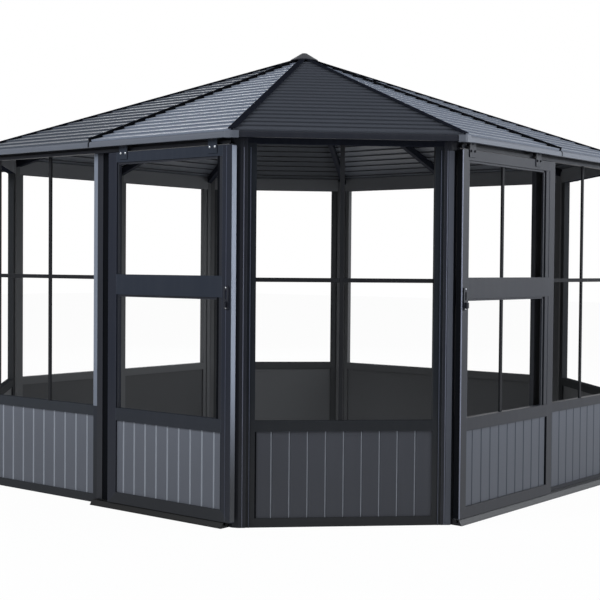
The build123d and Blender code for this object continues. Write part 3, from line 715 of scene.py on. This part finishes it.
class GAZEBO_OT_trims(bpy.types.Operator):
    """Thin trims on the corner posts, doors and front window, and strips over the eave joints"""
    bl_idname = "gazebo.trims"
    bl_label = "Trims"

    def execute(self, context):
        sizes = context.scene.gazebo_sizes
        soft, fine_soft = 0.0006, 0.0005
        top_gap, inlay_depth = 0.10, 0.0028
        posts = (0.0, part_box("corner_posts")[1].z - top_gap)
        groove = CORNER_HALF - sizes.inlay_place
        for name, turn in CORNERS.items():
            make_bars(f"post_inlays_{name}", wall_matrix(turn, CORNER_FACE), [
                (around_middle(side * groove, sizes.inlay_width), (-inlay_depth, 0.0), posts)
                for side in (-1, 1)
            ], "gazebo", "trim_light", soft)

        edge_proud, lip_proud = 0.002, 0.0032
        matrix, leaf = leaf_frame("front")
        edge, face, rise = leaf["outer"][1], leaf["face"], leaf["rise"]
        lip = behind(face, EDGE_LIP)
        # Bright strip over the front leaf's edge: a painted highlight of the edge facing the side lamp
        make_bars("front_door_edge_highlight_strip", matrix, [
            ((edge - SINK, edge + edge_proud), (leaf["back"] + SINK, lip[0]), rise),
            ((edge - SINK, edge + lip_proud), lip, rise),
        ], "front_door", "edge_painted_highlight", soft)
        line, line_sink, low_proud, low_height = behind(edge, (0.036, 0.033)), 0.002, 0.0006, 0.06
        # Thin strip on the front leaf in a light tone: a painted highlight line
        make_bars("front_door_face_trim", matrix, [
            (line, (face - line_sink, face + PROUD), (rise[0] + low_height, rise[1])),
            (line, (face - line_sink, face + low_proud), (rise[0], rise[0] + low_height)),
        ], "front_door", "highlight_line_coat", fine_soft)

        cover_gap = 0.002
        corner = wall_matrix(CORNERS["front_side"], CORNER_FACE)
        start = CORNER_HALF - cover_gap - sizes.cover_width
        make_bars("post_cover_strip", corner, [((start, start + sizes.cover_width), (-SINK, PROUD), posts)],
                  "gazebo", "cover_coat", fine_soft)
        bead_place = CORNER_HALF - sizes.bead_line
        # Thin beads on the near post in a light tone: painted highlight lines
        make_bars("post_beads", corner, [
            (around_middle(place, sizes.inlay_width), (-SINK, PROUD), posts)
            for place in (bead_place, -bead_place)
        ], "gazebo", "highlight_line_coat", fine_soft)

        side_gap, trim_proud = 0.001, 0.0015
        edges = sorted({round(v.co.x, 4) for v in NODES["front_window_stiles"].data.vertices})
        back = -FLAT_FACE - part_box("front_window_stiles")[0].y
        make_bars("front_window_trims", matrix, [
            ((left + side_gap, right - side_gap), (back - SINK, back + trim_proud), (SILL_TOP, HEAD))
            for left, right in (edges[:2], edges[-2:])
        ], "gazebo", "glazing_trim", fine_soft)

        strip_depth, strip_back, steps = 0.004, 0.003, 6
        low_eave, high_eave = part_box("wall_eave_rails")
        bend, top, foot = sizes.eave_round, high_eave.z, low_eave.z + SINK
        outline = [(-bend, top - strip_depth), (-bend - strip_back, top - strip_depth),
                   (-bend - strip_back, top + PROUD)]
        for step in range(steps + 1):
            around = math.pi / 2 * (1 - step / steps)
            outline.append((-bend + (bend + PROUD) * math.cos(around),
                            top - bend + (bend + PROUD) * math.sin(around)))
        outline += [(PROUD, foot), (-strip_depth, foot), (-strip_depth, top - bend)]
        shape = bmesh.new()
        for turn in FLAT_WALLS:
            add_prism(shape, wall_matrix(turn, high_eave.x), around_middle(0.0, sizes.eave_strip), outline)
        make_piece("eave_joint_strips", shape, "gazebo", "strip_black", fine_soft)

        wing = 0.003
        matrix, leaf = leaf_frame("side")
        edge, face = leaf["outer"][0], leaf["face"]
        make_bars("side_door_edge_trim", matrix, [
            ((edge - wing, edge + PROUD), (face - wing, face + SINK), rise),
            ((edge + PROUD, edge + wing), (face - SINK, face + SINK), rise),
        ], "side_door", "trim_light", fine_soft)
        return {"FINISHED"}


class GAZEBO_OT_fasteners(bpy.types.Operator):
    """Bolt heads on the hangers and screws on the latches and strikes"""
    bl_idname = "gazebo.fasteners"
    bl_label = "Fasteners"

    def execute(self, context):
        sizes = context.scene.gazebo_sizes
        hanger_width, bolt_rise, bolt_height = 0.060, 0.032, 0.004
        axle_drop, axle_height, axle_radius = 0.0232, 0.006, sizes.bolt_radius * 1.5
        plate_thickness, screw_height = 0.006, 0.0025
        latch_insets, strike_insets, strike_band = (0.006, 0.007), (0.012, 0.012), (-0.001, 0.01)
        for door, turn in DOORS.items():
            matrix = wall_matrix(turn, FLAT_FACE)
            body = f"{door}_door"
            hangers = wall_points(matrix, f"{door}_door_hangers")
            face = extent(hangers, 1)[1]
            low, high = extent(hangers, 0)
            centres = (low + hanger_width / 2, high - hanger_width / 2)
            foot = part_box(f"{door}_door_hangers")[0].z
            axle = extent(hangers, 2)[1] - axle_drop
            make_heads(f"{door}_hanger_bolts", matrix, [
                (place, face, foot + bolt_rise) for centre in centres
                for place in around_middle(centre, sizes.bolt_spread)
            ], sizes.bolt_radius, bolt_height, body, BOLT_FINISH[door])
            make_heads(f"{door}_axle_heads", matrix, [(centre, face, axle) for centre in centres],
                       axle_radius, axle_height, body, "frame_coat", sides=6)

            latch = wall_points(matrix, f"{door}_door_latch")
            strike = [v for v in wall_points(matrix, "door_strikes") if strike_band[0] < v.y < strike_band[1]]
            plates = (("latch", latch, extent(latch, 1)[0] + plate_thickness, latch_insets, body),
                      ("strike", strike, extent(strike, 1)[1], strike_insets, "gazebo"))
            for name, plate, plate_face, insets, carrier in plates:
                middle = sum(extent(plate, 0)) / 2
                bottom, top = extent(plate, 2)
                make_heads(f"{door}_{name}_screws", matrix, [
                    (middle, plate_face, height) for height in (bottom + insets[0], top - insets[1])
                ], sizes.screw_radius, screw_height, carrier, "bolt_bright")
        return {"FINISHED"}


# Stage


def background_rays(tree):
    """Socket that is 1 for rays which should meet the plain white background."""
    path = add_node(tree, "ShaderNodeLightPath")
    seen = path["Is Camera Ray"]
    for kind in ("Is Glossy Ray", "Is Transmission Ray"):
        seen = calculate(tree, "MAXIMUM", seen, path[kind])
    return seen


def set_camera(scene, stage):
    """Camera at the photo's viewing angle."""
    data = bpy.data.cameras.new("photo_camera")
    data.sensor_fit = "HORIZONTAL"
    data.sensor_width = 36.0
    data.lens = stage.focal_pixels / stage.photo_pixels * data.sensor_width
    data.clip_end = 200.0
    camera = bpy.data.objects.new("photo_camera", data)
    scene.collection.objects.link(camera)
    yaw, pitch = stage.camera_yaw, -stage.camera_pitch
    ahead = Vector((-math.sin(yaw) * math.cos(pitch), math.cos(yaw) * math.cos(pitch), math.sin(pitch)))
    right = ahead.cross(Vector((0, 0, 1))).normalized()
    up = right.cross(ahead)
    turn = Matrix((right, up, -ahead)).transposed()
    roll = Matrix.Rotation(stage.camera_roll, 3, "Z")
    camera.matrix_world = Matrix.Translation(stage.camera_place) @ (turn @ roll).to_4x4()
    scene.camera = camera


def lay_floor(scene, stage):
    """Pale floor that looks white and keeps a faint shadow."""
    shape = bmesh.new()
    bmesh.ops.create_grid(shape, x_segments=1, y_segments=1, size=FLOOR_REACH)
    mesh = bpy.data.meshes.new("floor")
    shape.to_mesh(mesh)
    shape.free()
    floor = bpy.data.objects.new("floor", mesh)
    floor.location.z = -FLOOR_DROP
    scene.collection.objects.link(floor)
    material = bpy.data.materials.new("pale_floor")
    material.use_nodes = True
    tree = material.node_tree
    shader = tree.nodes["Principled BSDF"]
    shader.inputs["Base Color"].default_value = FLOOR_GREY
    shader.inputs["Roughness"].default_value = 0.9
    shader.inputs["Specular IOR Level"].default_value = 0.0
    glow = add_node(tree, "ShaderNodeEmission", {"Color": WHITE, "Strength": 1.0})[0]
    share = calculate(tree, "MULTIPLY", background_rays(tree), stage.floor_white)
    blend = add_node(tree, "ShaderNodeMixShader", {"Fac": share, 1: shader.outputs[0], 2: glow})[0]
    tree.links.new(blend, tree.nodes["Material Output"].inputs["Surface"])
    mesh.materials.append(material)


def light_world(scene, stage):
    """Even light from all around, seen as plain white."""
    world = bpy.data.worlds.new("studio")
    scene.world = world
    world.use_nodes = True
    tree = world.node_tree
    tree.nodes.clear()
    white = add_node(tree, "ShaderNodeBackground", {"Color": WHITE})[0]
    soft = add_node(tree, "ShaderNodeBackground", {"Color": SOFT_WHITE, "Strength": stage.soft_light})[0]
    mix = add_node(tree, "ShaderNodeMixShader", {"Fac": background_rays(tree), 1: soft, 2: white})[0]
    add_node(tree, "ShaderNodeOutputWorld", {"Surface": mix})


def hang_lamps(scene):
    """Large soft lamps that the camera doesn't see."""
    for name, place, size, power in LAMPS:
        data = bpy.data.lights.new(name, "AREA")
        data.shape = "DISK"
        data.size = size
        data.energy = power
        data.color = LAMP_COLOUR
        lamp = bpy.data.objects.new(name, data)
        lamp.location = place
        aim = LAMP_AIM - Vector(place)
        lamp.rotation_euler = aim.to_track_quat("-Z", "Y").to_euler()
        lamp.visible_camera = False
        scene.collection.objects.link(lamp)


class GAZEBO_OT_stage(bpy.types.Operator):
    """Floor, light and the photo's camera"""
    bl_idname = "gazebo.stage"
    bl_label = "Stage"

    def execute(self, context):
        scene = context.scene
        scene.view_settings.view_transform = "Standard"
        set_camera(scene, scene.gazebo_stage)
        lay_floor(scene, scene.gazebo_stage)
        light_world(scene, scene.gazebo_stage)
        hang_lamps(scene)
        return {"FINISHED"}


class GAZEBO_PT_panel(bpy.types.Panel):
    """Gazebo steps in order"""
    bl_idname = "GAZEBO_PT_panel"
    bl_label = "Gazebo"
    bl_space_type = "VIEW_3D"
    bl_region_type = "UI"
    bl_category = "Gazebo"

    def draw(self, context):
        for operator in OPERATORS:
            self.layout.operator(operator.bl_idname)


OPERATORS = (GAZEBO_OT_stage, GAZEBO_OT_finish_frame, GAZEBO_OT_window_bars, GAZEBO_OT_gaskets,
             GAZEBO_OT_trims, GAZEBO_OT_fasteners)
CLASSES = (GazeboSizes, GazeboColours, GazeboStage, *OPERATORS, GAZEBO_PT_panel)


def register():
    for cls in CLASSES:
        bpy.utils.register_class(cls)
    bpy.types.Scene.gazebo_sizes = PointerProperty(type=GazeboSizes)
    bpy.types.Scene.gazebo_colours = PointerProperty(type=GazeboColours)
    bpy.types.Scene.gazebo_stage = PointerProperty(type=GazeboStage)


def unregister():
    del bpy.types.Scene.gazebo_stage
    del bpy.types.Scene.gazebo_colours
    del bpy.types.Scene.gazebo_sizes
    for cls in reversed(CLASSES):
        bpy.utils.unregister_class(cls)


def main():
    register()
    bpy.ops.gazebo.stage()
    bpy.ops.gazebo.finish_frame()
    bpy.ops.gazebo.window_bars()
    bpy.ops.gazebo.gaskets()
    bpy.ops.gazebo.trims()
    bpy.ops.gazebo.fasteners()


if __name__ == "__main__":
    main()
